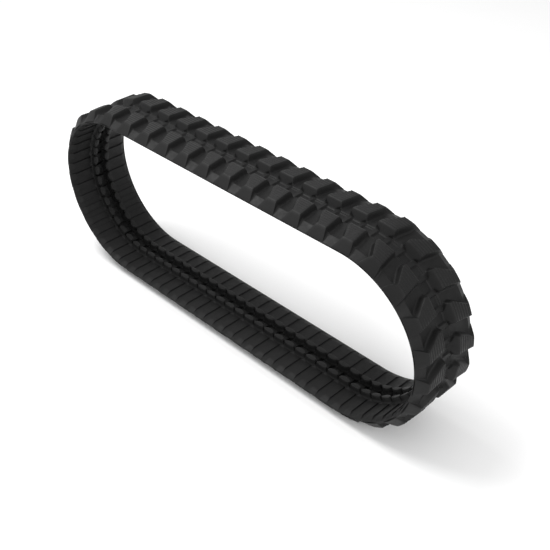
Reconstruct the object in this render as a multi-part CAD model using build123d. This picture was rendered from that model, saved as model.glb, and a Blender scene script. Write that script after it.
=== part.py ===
"""Rubber track of a compact excavator, standing on its tread as it would on the machine.

The track is an endless rubber belt. One steel core is bonded in at every pitch, with two horns that
stand up inside the rubber guide lugs. Steel cords run round the belt outside the cores, and two
staggered rows of tread lugs stand on the outer face. The belt is divided into sections that hinge on
the cord line, so that the loop can flex.

Frame: X along the track, Y across it, Z up, origin on the ground under the middle of the loop.
Along the belt, s is the distance from the middle of the lower run. It grows towards +X, goes up the
front end and back along the top. h is the height above the belt's edge line, and grows outwards.
"""
import math
import os

from build123d import *

# Driving dimensions, in millimetres and degrees.
PITCH = 48.5                # core to core, along the straight runs
PITCHES = 82                # cores in the whole loop
HALF_WIDTH = 126.5          # the belt is 253 wide
INNER_RADIUS = 288.5        # edge line at the two ends
PITCH_LINE = 13.5           # height at which the ends keep the full pitch

LUG_TOP = 37.0              # tread lug top
VALLEY = 14.0               # outer face between the tread lugs
CREST = 19.3                # the outer face rises to this before it slopes down to the edge
CREST_PLACE = 98.5          # distance of that crest from the centre line
EDGE_FACE = 5.6             # the upright edge of the belt
CHANNEL = 10.0              # floor of the channel along the middle of the tread
CORD_LINE = 9.5             # middle of the steel cords, and the line on which the belt hinges
WINDOW_FLOOR = 5.0          # rubber skin that closes each drive window on the tread side
CORE_OUTER = 5.5            # the steel core lies between these two heights
CORE_INNER = -1.5
GROOVE = -4.0               # inner face between the roller pads
PAD_TOP = -8.0              # roller pads
GUIDE_TOP = -28.0           # tops of the guide lugs
HORN_TOP = -23.0            # tops of the steel horns inside them

WINDOW_HALF_WIDTH = 18.0
BRIDGE_HALF = 8.0           # half length of the bridge between two windows
PAD_HALF = 11.2             # half length of a roller pad
PAD_ROOT = 34.6             # the pads start here and end at PAD_END
PAD_END = 106.0

CORD_RADIUS = 1.5
CORD_ROWS = [36.0 + 12.0 * i for i in range(6)]

FLEX_LIMIT = 10.0           # degrees that each hinge turns
JOINT_GAP = 0.2             # free space at the end of each section

# Sections, in pitches along the belt, and how the belt bends at each end of a section: "inwards"
# closes the inner face, "outwards" closes the tread, "splice" doesn't move.
SECTIONS = {
    "bottom_run": (-7.5, 7.5),
    "front_lower": (7.5, 16.5),
    "front_end": (16.5, 24.5),
    "front_upper": (24.5, 33.5),
    "top_front": (33.5, 41.5),
    "top_rear": (-40.5, -33.5),
    "rear_upper": (-33.5, -24.5),
    "rear_end": (-24.5, -16.5),
    "rear_lower": (-16.5, -7.5),
}
BENDS = {7.5: "inwards", 16.5: "outwards", 24.5: "outwards", 33.5: "inwards", 40.5: "splice", 41.5: "splice"}

PITCH_RADIUS = INNER_RADIUS + PITCH_LINE
HALF_LOOP = PITCH * PITCHES / 2
HALF_STRAIGHT = (HALF_LOOP - math.pi * PITCH_RADIUS) / 2
ARC_END = HALF_STRAIGHT + math.pi * PITCH_RADIUS
CENTRE_HEIGHT = INNER_RADIUS + LUG_TOP


def frame(s, h=0.0):
    """Plane across the belt at s: its x runs along Y, its y points inwards, its z along the belt."""
    along = abs(s)
    side = 1 if s >= 0 else -1
    turn = min(max(along - HALF_STRAIGHT, 0.0) / PITCH_RADIUS, math.pi)
    x = min(along, HALF_STRAIGHT) if along < ARC_END else HALF_LOOP - along
    radius = INNER_RADIUS + h
    origin = (side * (x + radius * math.sin(turn)) if along < ARC_END else side * x, 0,
              CENTRE_HEIGHT - radius * math.cos(turn))
    return Plane(origin=origin, x_dir=(0, 1, 0), z_dir=(math.cos(turn), 0, side * math.sin(turn)))


def stretches(start, end):
    """Cuts a stretch of belt where the straight runs meet the ends."""
    breaks = [b for b in (-ARC_END, -HALF_STRAIGHT, HALF_STRAIGHT, ARC_END) if start < b < end]
    marks = [start, *breaks, end]
    return zip(marks, marks[1:])


def sweep_section(faces, start, end):
    """Carries a section, drawn as (across, -height), along the belt from start to end."""
    solids = []
    for low, high in stretches(start, end):
        plane = frame(low)
        section = plane * faces
        middle = (low + high) / 2
        if HALF_STRAIGHT < abs(middle) < ARC_END:
            axis = Axis((math.copysign(HALF_STRAIGHT, middle), 0, CENTRE_HEIGHT), (0, -1, 0))
            solids.append(revolve(section, axis, revolution_arc=math.degrees((high - low) / PITCH_RADIUS)))
        else:
            solids.append(extrude(section, amount=high - low, dir=plane.z_dir))
    whole = solids[0]
    for solid in solids[1:]:
        whole = whole + solid
    return whole


def outline(points, side=1):
    """Face from (distance from the centre line, height) points, on one side of the belt."""
    return make_face(Polyline([(side * y, -h) for y, h in points], close=True))


def plan_prism(points, s, side, top, depth, taper, bulge=None):
    """Prism standing on the belt, drawn in plan as (along, distance from the centre line).

    top is the height of the drawn face, and the prism reaches depth from there towards the inner
    face, or towards the tread where depth is negative, growing by taper degrees. With a bulge, the
    side from the last point to the first is an arc through it.
    """
    belt = frame(s, top)
    inwards = belt.y_dir
    towards_belt = inwards if depth > 0 else -inwards
    plane = Plane(origin=belt.origin, x_dir=belt.z_dir, z_dir=towards_belt)
    flip = side if plane.y_dir.Y > 0 else -side
    corners = [(u, flip * y) for u, y in points]
    if bulge:
        boundary = Polyline(corners) + ThreePointArc(corners[0], (bulge[0], flip * bulge[1]), corners[-1])
    else:
        boundary = Polyline(corners, close=True)
    return extrude(plane * make_face(boundary), amount=abs(depth), dir=towards_belt, taper=-taper)


def end_cutter(position):
    """Clearance at a section's end, wide enough for the belt to bend there."""
    bend = BENDS[abs(position)]
    slope = 0.0 if bend == "splice" else math.tan(math.radians(FLEX_LIMIT / 2))
    outer, inner = LUG_TOP + 6, GUIDE_TOP - 6
    outer_gap = JOINT_GAP + (slope * (outer - CORD_LINE) if bend == "outwards" else 0.0)
    inner_gap = JOINT_GAP + (slope * (CORD_LINE - inner) if bend == "inwards" else 0.0)
    shape = [(-outer_gap, outer), (outer_gap, outer), (JOINT_GAP, CORD_LINE), (inner_gap, inner),
             (-inner_gap, inner), (-JOINT_GAP, CORD_LINE)]
    belt = frame(position * PITCH)
    plane = Plane(origin=belt.origin, x_dir=belt.z_dir, z_dir=(0, 1, 0))
    flip = 1 if plane.y_dir.dot(belt.y_dir) > 0 else -1
    face = plane * make_face(Polyline([(u, -flip * h) for u, h in shape], close=True))
    return extrude(face, amount=HALF_WIDTH + 10, both=True)


def core(s):
    """Forged steel core: a tapered bar across the belt, with two horns on its inner side."""
    half_plan = [(7, 0), (7, 20), (12, 24), (12, 32), (9, 40), (7, 95)]
    bar_plan = half_plan + [(-u, y) for u, y in reversed(half_plan)]
    thickness = CORE_OUTER - CORE_INNER
    horn_plan = [(-9, 21), (-5, 18.5), (5, 18.5), (9, 21), (9, 28), (-9, 28)]
    body = None
    for side in (-1, 1):
        bar = plan_prism(bar_plan, s, side, CORE_OUTER, thickness, 0)
        horn = plan_prism(horn_plan, s, side, HORN_TOP, HORN_TOP - CORE_INNER - 1, 4)
        body = bar + horn if body is None else body + bar + horn
    return body


def carcass(start, end, cutters):
    """Belt body of one section: two side bands, and the skin and bridges between the windows."""
    edge = [(WINDOW_HALF_WIDTH, GROOVE), (PAD_END + 1, GROOVE), (HALF_WIDTH, 0), (HALF_WIDTH, EDGE_FACE),
            (CREST_PLACE, CREST), (80, VALLEY), (WINDOW_HALF_WIDTH + 5, VALLEY), (WINDOW_HALF_WIDTH, CHANNEL)]
    skin = [(-WINDOW_HALF_WIDTH, WINDOW_FLOOR), (WINDOW_HALF_WIDTH, WINDOW_FLOOR),
            (WINDOW_HALF_WIDTH, CHANNEL), (-WINDOW_HALF_WIDTH, CHANNEL)]
    bridge_top = WINDOW_FLOOR - 0.15    # its flat back stays clear of the curved skin
    pieces = []
    for side in (-1, 1):
        pieces.append(sweep_section(outline(edge, side), start, end) - cutters)
    pieces.append(sweep_section(outline(skin), start, end) - cutters)
    for s in core_places(start, end):
        block = Box(2 * WINDOW_HALF_WIDTH, bridge_top - GROOVE, 2 * BRIDGE_HALF)
        pieces.append(frame(s, (bridge_top + GROOVE) / 2) * block)
    return pieces


def core_places(start, end):
    first = math.ceil(start / PITCH)
    last = math.floor(end / PITCH)
    return [i * PITCH for i in range(first, last + 1)]


def roller_pads(s):
    """Two raised pads on which the track rollers run, with sloping outer ends."""
    section = [(PAD_ROOT, GROOVE), (PAD_ROOT, PAD_TOP), (PAD_END, PAD_TOP), (HALF_WIDTH - 0.5, -0.12),
               (PAD_END + 1, GROOVE)]
    return [sweep_section(outline(section, side), s - PAD_HALF, s + PAD_HALF) for side in (-1, 1)]


def guide_lugs(s):
    """Two lugs that keep the rollers in line: flat outer face, curved inner face."""
    plan = [(18, 27), (14, 32.5), (-14, 32.5), (-18, 27)]
    section = [(12, GROOVE), (36, GROOVE), (36, GUIDE_TOP), (12, GUIDE_TOP)]
    lugs = []
    for side in (-1, 1):
        block = sweep_section(outline(section, side), s - PITCH / 2, s + PITCH / 2)
        lugs.append(block & plan_prism(plan, s, side, GUIDE_TOP, GUIDE_TOP - GROOVE - 2, 4, bulge=(0, 15)))
    return lugs


def tread_lug(index):
    """Tread lug over the window between two cores: odd ones on the +Y row, even ones on the other.

    The lug's leading side is nearly straight and its trailing side runs in diagonally towards the
    belt's edge. A low tongue reaches from its inner end into the middle channel.
    """
    side = -1 if index % 2 == 0 else 1
    middle = (index + 0.5) * PITCH
    plan = [(-24.75, 15), (-24.75, 45), (-34.75, 100), (-38, 132), (0, 132), (-1.75, 99), (29.75, 47), (29.75, 15)]
    section = [(27, VALLEY), (31, LUG_TOP), (100, LUG_TOP), (106, 31), (HALF_WIDTH, EDGE_FACE + 1.4),
               (HALF_WIDTH, EDGE_FACE), (CREST_PLACE, CREST), (80, VALLEY)]
    tongue = [(6.4, CHANNEL), (8, 16), (28, 16), (28, VALLEY), (WINDOW_HALF_WIDTH + 5, VALLEY),
              (WINDOW_HALF_WIDTH, CHANNEL)]
    block = sweep_section(outline(section, side), middle - 60, middle + 60)
    lug = block & plan_prism(plan, middle, side, LUG_TOP + 0.5, LUG_TOP, 20)
    return lug + sweep_section(outline(tongue, side), middle - 18, middle + 14)


def part_lug(index, position, before):
    """The part of a lug that lies before or after the section end at position, in pitches."""
    pieces = (tread_lug(index) - end_cutter(position)).solids()
    along = frame(position * PITCH)
    kept = [p for p in pieces if ((p.center() - along.origin).dot(along.z_dir) < 0) == before]
    return max(kept, key=lambda p: p.volume)


def cords(start, end):
    """Steel cords of one section, six on each side of the windows."""
    runs = []
    for side in (-1, 1):
        for row in CORD_ROWS:
            round_section = Pos(side * row, -CORD_LINE) * Circle(CORD_RADIUS)
            runs.append(sweep_section(round_section, start + JOINT_GAP, end - JOINT_GAP))
    return runs


def tread_lugs(first, last):
    """All lugs of a section, in pitches from first to last, with the parts of lugs at both ends."""
    opening = math.floor(first)
    closing = math.floor(last)
    lugs = [tread_lug(i) for i in range(opening + 2, closing)]
    lugs.append(part_lug(opening, first, before=False))
    lugs.append(part_lug(opening + 1, first, before=False))
    lugs.append(part_lug(closing, last, before=True))
    return lugs


def save(name, shapes):
    """Writes one node as separate solids."""
    loose = []
    for shape in shapes:
        loose.extend(shape.solids())
    node = Compound(label=name, children=loose)
    export_step(node, f"parts/{name}.step")


os.makedirs("parts", exist_ok=True)
for section_name, (first_pitch, last_pitch) in SECTIONS.items():
    belt_start = first_pitch * PITCH
    belt_end = last_pitch * PITCH
    section_cores = [core(s) for s in core_places(belt_start, belt_end)]
    section_cutters = [end_cutter(first_pitch), end_cutter(last_pitch)]
    pads = []
    guides = []
    for place in core_places(belt_start, belt_end):
        pads.extend(roller_pads(place))
        guides.extend(guide_lugs(place))
    save(f"carcass_{section_name}", carcass(belt_start, belt_end, section_cutters))
    save(f"roller_pads_{section_name}", pads)
    save(f"guide_lugs_{section_name}", guides)
    save(f"tread_lugs_{section_name}", tread_lugs(first_pitch, last_pitch))
    save(f"steel_cores_{section_name}", section_cores)
    save(f"steel_cords_{section_name}", cords(belt_start, belt_end))
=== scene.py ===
import math

import bpy
import numpy as np
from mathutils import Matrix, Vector


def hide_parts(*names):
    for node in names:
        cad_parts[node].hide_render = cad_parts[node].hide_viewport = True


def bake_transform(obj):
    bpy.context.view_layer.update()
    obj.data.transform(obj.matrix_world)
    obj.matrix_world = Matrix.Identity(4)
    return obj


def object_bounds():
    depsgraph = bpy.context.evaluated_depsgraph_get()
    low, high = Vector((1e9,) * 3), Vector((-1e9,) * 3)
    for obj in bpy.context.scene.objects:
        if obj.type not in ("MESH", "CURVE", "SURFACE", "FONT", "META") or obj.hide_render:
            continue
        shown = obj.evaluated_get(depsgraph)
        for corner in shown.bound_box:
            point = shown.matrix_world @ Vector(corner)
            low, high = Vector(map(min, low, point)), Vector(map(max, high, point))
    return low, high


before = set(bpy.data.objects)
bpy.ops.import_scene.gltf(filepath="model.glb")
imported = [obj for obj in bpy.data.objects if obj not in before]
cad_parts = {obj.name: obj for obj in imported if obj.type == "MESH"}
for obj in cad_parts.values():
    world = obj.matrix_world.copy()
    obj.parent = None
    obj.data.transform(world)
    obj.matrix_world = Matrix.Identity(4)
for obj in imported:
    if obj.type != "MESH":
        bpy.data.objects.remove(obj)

# The rubber track's looks. The belt is drawn unrolled, in millimetres: s along it, y across it and h
# above its edge line, growing outwards. place() then wraps it round the loop that the frame gives.
MM = 0.001
cad_low, cad_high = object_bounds()

# Heights, in millimetres.
LUG_TOP = 37.0
VALLEY = 14.0               # outer face between the tread lugs
CREST = 19.3                # the valleys rise to this before they slope down to the edge
CREST_PLACE = 98.5
EDGE_FACE = 5.6             # the belt's edge is upright up to here
CHANNEL = 9.5               # pockets of the tread's middle channel
BRIDGE = 15.0               # raised blocks that cross the channel at the cores
CORD_LINE = 9.5
WINDOW_FLOOR = 5.0
GROOVE = -4.0               # inner face between the roller pads
PAD_TOP = -8.0
GUIDE_TOP = -28.0
PITCH_LINE = 13.5           # height at which the ends keep the full pitch
PITCHES = 82

HALF_WIDTH = (cad_high.y - cad_low.y) / 2 / MM
RADIUS = (cad_high.z - cad_low.z) / 2 / MM - LUG_TOP
CENTRE_HEIGHT = cad_low.z / MM + RADIUS + LUG_TOP
HALF_STRAIGHT = (cad_high.x - cad_low.x) / 2 / MM - RADIUS - LUG_TOP
PITCH_RADIUS = RADIUS + PITCH_LINE
HALF_LOOP = 2 * HALF_STRAIGHT + math.pi * PITCH_RADIUS
PITCH = 2 * HALF_LOOP / PITCHES
ARC_END = HALF_STRAIGHT + math.pi * PITCH_RADIUS

# Stretches of belt in order of s, in pitches: start, hinge, end, and the bodies before and after the hinge.
SPANS = [
    (-40.5, -33.5, -29, "top_rear", "rear_upper"),
    (-29, -24.5, -20.5, "rear_upper", "rear_end"),
    (-20.5, -16.5, -12, "rear_end", "rear_lower"),
    (-12, -7.5, 0, "rear_lower", "bottom_run"),
    (0, 7.5, 12, "bottom_run", "front_lower"),
    (12, 16.5, 20.5, "front_lower", "front_end"),
    (20.5, 24.5, 29, "front_end", "front_upper"),
    (29, 33.5, 41.5, "front_upper", "top_front"),
]
BEND_REACH = 1.5 * PITCH    # reach to each side of a hinge; the pieces are not bent


def place(s, y, h):
    """Points of the unrolled belt, in metres round the loop."""
    s, y, h = (np.asarray(v, float) for v in np.broadcast_arrays(s, y, h))
    along = np.abs(s)
    side = np.where(s >= 0, 1.0, -1.0)
    turn = np.clip((along - HALF_STRAIGHT) / PITCH_RADIUS, 0, math.pi)
    straight = np.where(along < ARC_END, np.minimum(along, HALF_STRAIGHT), HALF_LOOP - along)
    radius = RADIUS + h
    x = side * (straight + radius * np.sin(turn))
    z = CENTRE_HEIGHT - radius * np.cos(turn)
    return np.stack([x, y, z], -1) * MM


# ---------------------------------------------------------------- materials

def new_material(name):
    material = bpy.data.materials.new(name)
    material.use_nodes = True
    tree = material.node_tree
    return material, tree, tree.nodes["Principled BSDF"]


def noise(tree, scale, detail=4.0, roughness=0.6, stretch=(1, 1, 1)):
    coordinates = tree.nodes.new("ShaderNodeTexCoord")
    mapping = tree.nodes.new("ShaderNodeMapping")
    mapping.inputs["Scale"].default_value = stretch
    texture = tree.nodes.new("ShaderNodeTexNoise")
    texture.inputs["Scale"].default_value = scale
    texture.inputs["Detail"].default_value = detail
    texture.inputs["Roughness"].default_value = roughness
    tree.links.new(coordinates.outputs["Object"], mapping.inputs["Vector"])
    tree.links.new(mapping.outputs["Vector"], texture.inputs["Vector"])
    return texture.outputs["Fac"]


def ramp(tree, value, stops):
    node = tree.nodes.new("ShaderNodeValToRGB")
    elements = node.color_ramp.elements
    while len(elements) < len(stops):
        elements.new(0.5)
    for element, (position, colour) in zip(elements, stops):
        element.position = position
        element.color = (*colour, 1)
    tree.links.new(value, node.inputs["Fac"])
    return node.outputs["Color"]


NOISE_LOW = 0.3             # nearly all of a noise texture lies between these two values
NOISE_HIGH = 0.7


def remap(tree, value, low, high):
    node = tree.nodes.new("ShaderNodeMapRange")
    node.inputs["From Min"].default_value = NOISE_LOW
    node.inputs["From Max"].default_value = NOISE_HIGH
    node.inputs["To Min"].default_value = low
    node.inputs["To Max"].default_value = high
    tree.links.new(value, node.inputs["Value"])
    return node.outputs["Result"]


def bump(tree, value, strength, distance, below=None):
    node = tree.nodes.new("ShaderNodeBump")
    node.inputs["Strength"].default_value = strength
    node.inputs["Distance"].default_value = distance
    tree.links.new(value, node.inputs["Height"])
    if below is not None:
        tree.links.new(below, node.inputs["Normal"])
    return node.outputs["Normal"]


def mix(tree, factor, first, second, kind="MIX"):
    node = tree.nodes.new("ShaderNodeMix")
    node.data_type = "RGBA"
    node.blend_type = kind
    tree.links.new(factor, node.inputs["Factor"])
    tree.links.new(first, node.inputs["A"])
    tree.links.new(second, node.inputs["B"])
    return node.outputs["Result"]


SHEEN = 0.2                 # specular level of the rubber
BELT_TONE = 0.0075          # reflectance of the rubber
LUG_TONE = 0.0072


def rubber(name, tone, dull=0.56):
    """Matte black rubber: cloudy bloom, fine mottling, a moulded grain and a few scuffs."""
    material, tree, shader = new_material(name)
    dark = tuple(tone * c for c in (0.86, 0.86, 0.87))
    pale = tuple(tone * c for c in (1.16, 1.16, 1.15))
    cloudy = ramp(tree, noise(tree, 5.0, 3.0), [(0.35, dark), (0.68, pale)])
    mottled = ramp(tree, noise(tree, 140.0, 6.0, 0.7), [(0.3, dark), (0.72, pale)])
    scuffs = remap(tree, noise(tree, 30.0, 8.0, 0.75, (0.35, 1.6, 1.0)), 0.0, 0.6)
    shader_colour = mix(tree, scuffs, cloudy, mottled)
    tree.links.new(shader_colour, shader.inputs["Base Color"])
    roughness = remap(tree, noise(tree, 60.0, 5.0), dull - 0.07, dull + 0.07)
    tree.links.new(roughness, shader.inputs["Roughness"])
    grain = bump(tree, noise(tree, 900.0, 3.0), 0.12, 0.0004)
    skin = bump(tree, noise(tree, 110.0, 4.0), 0.10, 0.0012, grain)
    tree.links.new(skin, shader.inputs["Normal"])
    shader.inputs["Specular IOR Level"].default_value = SHEEN
    return material


def forged_iron():
    """Scale-dark forged iron of the cores."""
    material, tree, shader = new_material("forged_iron")
    colour = ramp(tree, noise(tree, 45.0, 6.0), [(0.3, (0.06, 0.055, 0.05)), (0.7, (0.2, 0.18, 0.16))])
    tree.links.new(colour, shader.inputs["Base Color"])
    shader.inputs["Metallic"].default_value = 0.85
    tree.links.new(remap(tree, noise(tree, 160.0), 0.45, 0.75), shader.inputs["Roughness"])
    tree.links.new(bump(tree, noise(tree, 220.0, 5.0), 0.3, 0.0008), shader.inputs["Normal"])
    return material


def brassed_cord():
    """Brass-coated steel cord, with the lay of its strands."""
    material, tree, shader = new_material("brassed_cord")
    coordinates = tree.nodes.new("ShaderNodeTexCoord")
    lay = tree.nodes.new("ShaderNodeTexWave")
    lay.bands_direction = "DIAGONAL"
    lay.inputs["Scale"].default_value = 420.0
    lay.inputs["Distortion"].default_value = 0.4
    tree.links.new(coordinates.outputs["Object"], lay.inputs["Vector"])
    colour = ramp(tree, lay.outputs["Fac"], [(0.1, (0.25, 0.2, 0.1)), (0.9, (0.62, 0.52, 0.3))])
    tree.links.new(colour, shader.inputs["Base Color"])
    shader.inputs["Metallic"].default_value = 1.0
    tree.links.new(remap(tree, noise(tree, 300.0), 0.28, 0.42), shader.inputs["Roughness"])
    tree.links.new(bump(tree, lay.outputs["Fac"], 0.5, 0.0005), shader.inputs["Normal"])
    return material


# ---------------------------------------------------------------- mesh helpers

def make_piece(name, vertices, faces, material, crease=28):
    """Closed mesh with smooth faces that stay crisp where they meet at more than the crease angle."""
    mesh = bpy.data.meshes.new(name)
    mesh.from_pydata([tuple(v) for v in vertices], [], faces)
    mesh.validate()
    mesh.shade_smooth()
    mesh.set_sharp_from_angle(angle=math.radians(crease))
    mesh.materials.append(material)
    piece = bpy.data.objects.new(name, mesh)
    bpy.context.collection.objects.link(piece)
    return piece


def tube_faces(rings, size, start=0):
    """Faces of a closed tube of rings, with a face over each end."""
    faces = []
    for r in range(rings - 1):
        for c in range(size):
            d = (c + 1) % size
            low, high = start + r * size, start + (r + 1) * size
            faces.append((low + c, low + d, high + d, high + c))
    faces.append(tuple(start + c for c in reversed(range(size))))
    faces.append(tuple(start + (rings - 1) * size + c for c in range(size)))
    return faces


# ---------------------------------------------------------------- belt body

# The steps from the tread's middle channel up to the valley, as distances from the centre line, on
# the side where the pitch has a tread lug and on the other one.
STEPS_AT_LUG = (12.0, 15.0, 16.5, 19.0)
STEPS_BESIDE = (11.8, 14.6, 18.6, 21.4)
LEDGE = 11.8                # height between the two steps
BRIDGE_HALF = 5.8           # half length of the flat top of a raised block
POCKET_START = 10.4         # a pocket runs from here to the same distance before the next core
# Distances after a core at which the belt's sections stand.
COLUMNS = [0, 3, 5.8, 9, 10.4, 11.2, 12.4, 16, 20, 24.25, 28.5, 32.5, 36.1, 37.3, 38.1, 39.5, 42.7, 45.5]
PAD_HALF = 11.2             # half length of a roller pad
PAD_FLARE = 3.5             # how far a pad's sloping outer end spreads along the belt
SADDLE_START = 16.0         # past this distance from a core, the web between two guide lugs is higher
SAME_PLACE = 0.01           # margin for comparing places along the belt
WINDOW_START = 9.0          # the drive window runs from here to the same distance before the next core


def half_section(offset, lug_here):
    """One half of the belt's section, from the tread's centre line round the edge to the inner one.

    offset is the distance after a core, and lug_here says whether this side's tread lug starts at
    that core or at the one before. Returns shifts along the belt, distances across and heights.
    """
    steps = STEPS_AT_LUG if lug_here else STEPS_BESIDE
    to_core = min(offset, PITCH - offset)
    towards = 1 if offset < PITCH / 2 else -1
    on_pad = to_core <= PAD_HALF + SAME_PLACE
    in_window = to_core > WINDOW_START
    flat = PAD_TOP if on_pad else GROOVE
    beside_pad = PAD_HALF - SAME_PLACE <= to_core <= PAD_HALF + 1.5
    flare = towards * PAD_FLARE if beside_pad else 0.0
    saddle = -9.0 if to_core > SADDLE_START else PAD_TOP - 0.5
    bed = np.interp(to_core, [BRIDGE_HALF, POCKET_START], [BRIDGE, CHANNEL])
    ledge = np.interp(to_core, [BRIDGE_HALF, POCKET_START], [BRIDGE, LEDGE])
    outer = [(0, 0, bed), (0, steps[0], bed), (0, steps[1], ledge), (0, steps[2], ledge),
             (0, steps[3], VALLEY), (0, 55, VALLEY), (0, 74, VALLEY), (0, 80, VALLEY + 0.3),
             (0, 86, VALLEY + 1.1), (0, 92, VALLEY + 2.6), (0, CREST_PLACE - 0.6, CREST - 0.2),
             (0, CREST_PLACE + 0.6, CREST - 0.2), (0, 112, 12.75), (0, HALF_WIDTH - 0.8, EDGE_FACE + 0.4),
             (0, HALF_WIDTH, EDGE_FACE - 0.4), (0, HALF_WIDTH, 0.5)]
    inner = [(flare, HALF_WIDTH - 0.8, -0.2), (flare * 0.6, 116, -4.0 if on_pad else -2.0),
             (flare * 0.1, 107.5, -7.6 if on_pad else GROOVE + 0.2), (0, 105, flat), (0, 70, flat),
             (0, 38.5, flat), (0, 36.5, flat if on_pad else GROOVE - 0.5), (0, 31.5, saddle), (0, 22, -5.5),
             (0, 20, GROOVE if in_window else -5.0), (0, 17.8, -1.0 if in_window else -4.6),
             (0, 17.0, WINDOW_FLOOR - 1 if in_window else -4.4),
             (0, 15.5, WINDOW_FLOOR if in_window else -4.4), (0, 0, WINDOW_FLOOR if in_window else -4.4)]
    return np.array(outer + inner, float)


def belt_rings(first, last):
    """Closed sections of the belt between two places, in pitches."""
    rings = []
    for core in range(math.floor(first), math.ceil(last) + 1):
        for offset in COLUMNS:
            s = core * PITCH + offset
            if first * PITCH - SAME_PLACE <= s <= last * PITCH + SAME_PLACE:
                left = half_section(offset, core % 2 != 0)
                right = half_section(offset, core % 2 == 0)
                right[:, 1] *= -1
                ring = np.vstack([left, right[-2:0:-1]])
                ring[:, 0] += s
                ring[:, 0] = np.clip(ring[:, 0], first * PITCH, last * PITCH)
                rings.append(ring)
    return rings


def belt_piece(name, first, last, material):
    rings = belt_rings(first, last)
    points = np.vstack(rings)
    return make_piece(name, place(*points.T), tube_faces(len(rings), len(rings[0])), material, 18)


# ---------------------------------------------------------------- tread lugs

RIB_SPACING = 10.07
RIB_DEPTH = 1.1
RIB_PHASE = 42.1            # a rib's crest
# Profiles of a tread lug as (distance from the centre line, value): the height of its top, the height
# of the belt under it, and where its two sides stand along the belt from its middle, at LUG_TOP.
FLANK = [(11.8, 9.55), (13.2, 9.9), (14.8, 11.0), (16.6, 13.0), (30.9, 34.9), (32.4, 36.3), (34.5, LUG_TOP),
         (99.0, LUG_TOP), (100.2, 36.4), (105.2, 31.6), (106.4, 30.3), (125.0, 8.6), (HALF_WIDTH, 6.6)]
OUTER_FACE = [(17, CHANNEL - 0.5), (20, VALLEY), (74, VALLEY), (86, VALLEY + 1.1), (92, VALLEY + 2.6),
              (CREST_PLACE, CREST), (HALF_WIDTH, EDGE_FACE - 0.3)]
LEADING_SIDE = [(15, -6.5), (20, -10.5), (23, -21.5), (26, -24.0), (29, -24.75), (45, -25.0),
                (70, -29.6), (97, -34.75), (112, -37.0), (125, -38.0)]
TRAILING_SIDE = [(15, 5.5), (20, 10.5), (23, 22.0), (26, 28.0), (29, 29.6), (40, 29.9), (44, 29.2),
                 (48, 27.4), (92, 0.6), (96, -1.0), (100, -1.0), (116, 4.0), (125, 6.5)]
DRAFT = math.tan(math.radians(17))
FOOT_RADIUS = 5.0
FULL_HEIGHT = 9.0           # a lug at least this high has full fillets
# Distances from the centre line at which a lug's sections stand: close enough for the ribs on its top.
LUG_ROWS = np.array([11.8, 13.2, 14.8, 16.6, 19.0, 21.0, 23.0, 26.0, 28.5, 30.9, 31.7, 32.4, 33.3,
                     *np.arange(34.5, 98.6, 1.25), 99.4, 100.2, 102.7, 105.2, 106.4, 110.0, 114.0, 118.0,
                     122.0, 125.0, HALF_WIDTH])


def curve(knots, at):
    stations, values = zip(*knots)
    return np.interp(at, stations, values)


def lug_section(y):
    """Section of a tread lug along the belt, at y from the centre line: from foot over top to foot."""
    ground = float(curve(OUTER_FACE, y))
    top = max(float(curve(FLANK, y)), ground + 0.2)
    rib_fade = np.clip(min(y - 34.5, 99.4 - y) / 1.5, 0, 1)
    wave = 0.5 - 0.5 * math.cos(2 * math.pi * (y - RIB_PHASE) / RIB_SPACING)
    top -= RIB_DEPTH * rib_fade * wave
    size = min(1.0, (top - ground) / FULL_HEIGHT)
    heights = np.array([ground - 1.5, ground, ground + 1.0 * size, ground + 2.6 * size, ground + 5.0 * size,
                        (ground + top) / 2 + 1.5 * size, top - 1.6 * size, top - 0.45 * size, top])
    flare = np.array([1.0, 1.0, 0.4, 0.14, 0.0, 0.0, 0.0, 0.0, 0.0]) * FOOT_RADIUS * size
    inset = np.array([0, 0, 0, 0, 0, 0, 0, 0.45, 1.5]) * size
    lead = float(curve(LEADING_SIDE, y)) - DRAFT * (LUG_TOP - heights) - flare + inset
    trail = float(curve(TRAILING_SIDE, y)) + DRAFT * (LUG_TOP - heights) + flare - inset
    across_top = np.linspace(lead[-1], trail[-1], 6)[1:-1]
    u = np.concatenate([lead, across_top, trail[::-1]])
    h = np.concatenate([heights, np.full(len(across_top), top), heights[::-1]])
    return u, h


def tread_piece(name, first, last, material):
    """All tread lugs whose middle lies between two places, in pitches, as closed shells."""
    vertices, faces = [], []
    sections = [lug_section(y) for y in LUG_ROWS]
    size = len(sections[0][0])
    for index in range(math.floor(first), math.ceil(last) + 1):
        if not first <= index + 0.5 < last:
            continue
        side = -1 if index % 2 == 0 else 1
        middle = (index + 0.5) * PITCH
        start = sum(len(v) for v in vertices)
        for y, (u, h) in zip(LUG_ROWS, sections):
            vertices.append(place(middle + u, side * y, h))
        shell = tube_faces(len(LUG_ROWS), size, start)
        faces.extend(shell if side < 0 else [tuple(reversed(f)) for f in shell])
    return make_piece(name, np.vstack(vertices), faces, material, 32)


# ---------------------------------------------------------------- guide lugs

GUIDE_HALF_LENGTH = 20.0
GUIDE_MIDDLE = 27.0         # distance of its widest place from the centre line
GUIDE_INWARD = 12.0         # how far its curved face bulges towards the centre line
GUIDE_OUTWARD = 5.8         # how far its flat face stands on the other side
GUIDE_FOOT = -5.0
GUIDE_POINTS = 36
# Layers from top to foot: height, inset of the top edge, and growth of the foot.
GUIDE_LAYERS = [(GUIDE_TOP, 1.6, 0.0), (GUIDE_TOP + 0.15, 0.9, 0.0), (GUIDE_TOP + 0.6, 0.3, 0.0),
                (GUIDE_TOP + 1.4, 0.0, 0.0), (-18.0, 0.0, 0.0), (-12.5, 0.0, 0.2), (-10.5, 0.0, 1.0),
                (-9.0, 0.0, 2.4), (GUIDE_FOOT, 0.0, 3.0)]


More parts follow.
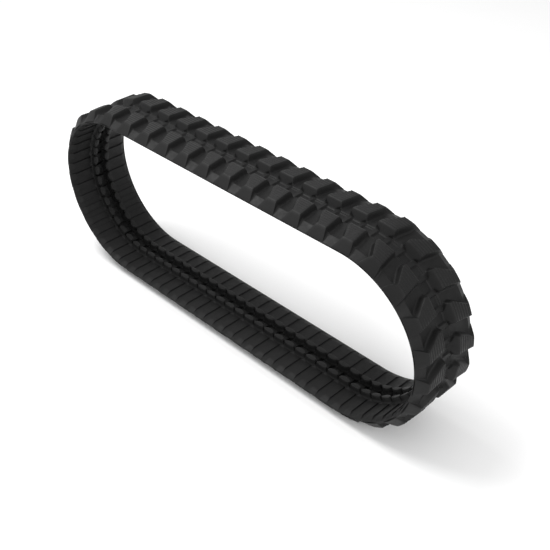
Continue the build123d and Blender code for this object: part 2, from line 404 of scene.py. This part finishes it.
def guide_ring(height, inset, flare):
    """Outline of a guide lug at a height: flat on its outer side, curved on its inner side."""
    share = (height - GUIDE_TOP) / (GUIDE_FOOT - GUIDE_TOP)
    angle = np.linspace(0, 2 * math.pi, GUIDE_POINTS, endpoint=False)
    cos, sin = np.cos(angle), np.sin(angle)
    length = GUIDE_HALF_LENGTH + 3.8 * share - inset + flare * 0.6
    outward = GUIDE_OUTWARD + 0.8 * share - inset + flare
    inward = GUIDE_INWARD + 2.2 * share - inset + flare * 0.6
    u = length * np.sign(cos) * np.abs(cos) ** 0.9
    y = GUIDE_MIDDLE + np.where(sin > 0, outward * np.abs(sin) ** 0.7, -inward * np.abs(sin) ** 1.15)
    return u, y, np.full(GUIDE_POINTS, height)


def guide_piece(name, first, last, material):
    vertices, faces = [], []
    rings = [guide_ring(*layer) for layer in GUIDE_LAYERS]
    for core in range(math.ceil(first), math.ceil(last)):
        for side in (-1, 1):
            start = sum(len(v) for v in vertices)
            for u, y, h in rings:
                vertices.append(place(core * PITCH + u, side * y, h))
            shell = tube_faces(len(rings), GUIDE_POINTS, start)
            faces.extend(shell if side > 0 else [tuple(reversed(f)) for f in shell])
    return make_piece(name, np.vstack(vertices), faces, material, 40)


# ---------------------------------------------------------------- assembly

def join_at_hinge(piece, span, nodes):
    """Bakes a piece's transform and lets it stand for the CAD nodes there, which it hides."""
    _, hinge, _, before, after = span
    start = place(hinge * PITCH - BEND_REACH, 0, CORD_LINE)
    end = place(hinge * PITCH + BEND_REACH, 0, CORD_LINE)
    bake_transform(piece)
    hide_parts(*nodes)


def build_track():
    belt_rubber = rubber("belt_rubber", BELT_TONE)
    tread_rubber = rubber("tread_rubber", LUG_TONE, 0.52)
    guide_rubber = rubber("guide_rubber", LUG_TONE, 0.54)
    for span in SPANS:
        first, _, last, before, after = span
        bodies = [before, after] if span is SPANS[-1] else [before]
        name = f"{before}_to_{after}"
        belt = belt_piece(f"belt_{name}", first, last, belt_rubber)
        join_at_hinge(belt, span,
                      [f"{kind}_{b}" for b in bodies for kind in ("carcass", "roller_pads")])
        tread = tread_piece(f"tread_{name}", first, last, tread_rubber)
        join_at_hinge(tread, span, [f"tread_lugs_{b}" for b in bodies])
        guides = guide_piece(f"guides_{name}", first, last, guide_rubber)
        join_at_hinge(guides, span, [f"guide_lugs_{b}" for b in bodies])


def finish_steel():
    """Materials of the steel that stays inside the rubber."""
    iron, cord = forged_iron(), brassed_cord()
    for node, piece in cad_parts.items():
        if node.startswith("steel_"):
            material = iron if node.startswith("steel_cores") else cord
            piece.data.materials.clear()
            piece.data.materials.append(material)


# ---------------------------------------------------------------- staging

def floor():
    size = 12.0
    gap = 0.0005            # keeps the floor just clear of the lugs that stand on it
    mesh = bpy.data.meshes.new("floor")
    corners = [(-size, -size, 0), (size, -size, 0), (size, size, 0), (-size, size, 0)]
    mesh.from_pydata(corners, [], [(0, 1, 2, 3)])
    plane = bpy.data.objects.new("floor", mesh)
    plane.location.z = cad_low.z - gap
    material, _, shader = new_material("floor_paper")
    shader.inputs["Base Color"].default_value = (0.92, 0.92, 0.92, 1)
    shader.inputs["Roughness"].default_value = 0.9
    mesh.materials.append(material)
    bpy.context.collection.objects.link(plane)


def area_light(name, direction, distance, size, power, aim):
    lamp = bpy.data.lights.new(name, "AREA")
    lamp.size = size
    lamp.energy = power
    holder = bpy.data.objects.new(name, lamp)
    towards = np.array(direction, float)
    towards /= np.linalg.norm(towards)
    holder.location = tuple(np.array(aim) + towards * distance)
    holder.rotation_euler = facing(-towards)
    bpy.context.collection.objects.link(holder)


def facing(direction):
    return Vector(tuple(direction)).to_track_quat("-Z", "Y").to_euler()


CAMERA_AZIMUTH = 45.145
CAMERA_ELEVATION = 36.151
CAMERA_DISTANCE = 3.187
CAMERA_LENS = 59.93
CAMERA_TARGET = (0.0211, 0.1265, 0.1505)


def camera():
    azimuth, elevation = math.radians(CAMERA_AZIMUTH), math.radians(CAMERA_ELEVATION)
    back = np.array([math.sin(azimuth) * math.cos(elevation), -math.cos(azimuth) * math.cos(elevation),
                     math.sin(elevation)])
    data = bpy.data.cameras.new("camera")
    data.lens = CAMERA_LENS
    data.sensor_width = 36.0
    holder = bpy.data.objects.new("camera", data)
    holder.location = tuple(np.array(CAMERA_TARGET) + back * CAMERA_DISTANCE)
    holder.rotation_euler = facing(-back)
    bpy.context.collection.objects.link(holder)
    bpy.context.scene.camera = holder


def studio():
    world = bpy.data.worlds.new("studio")
    world.use_nodes = True
    background = world.node_tree.nodes["Background"]
    background.inputs["Color"].default_value = (1, 1, 1, 1)
    background.inputs["Strength"].default_value = 0.85
    bpy.context.scene.world = world
    centre = (cad_low + cad_high) / 2
    area_light("key", (-0.42, -0.18, 0.89), 3.5, 1.9, 102, centre)
    area_light("fill", (0.85, -0.3, 0.4), 3.5, 1.6, 30, centre)


build_track()
finish_steel()
floor()
studio()
camera()
bpy.context.scene.view_settings.view_transform = "Standard"
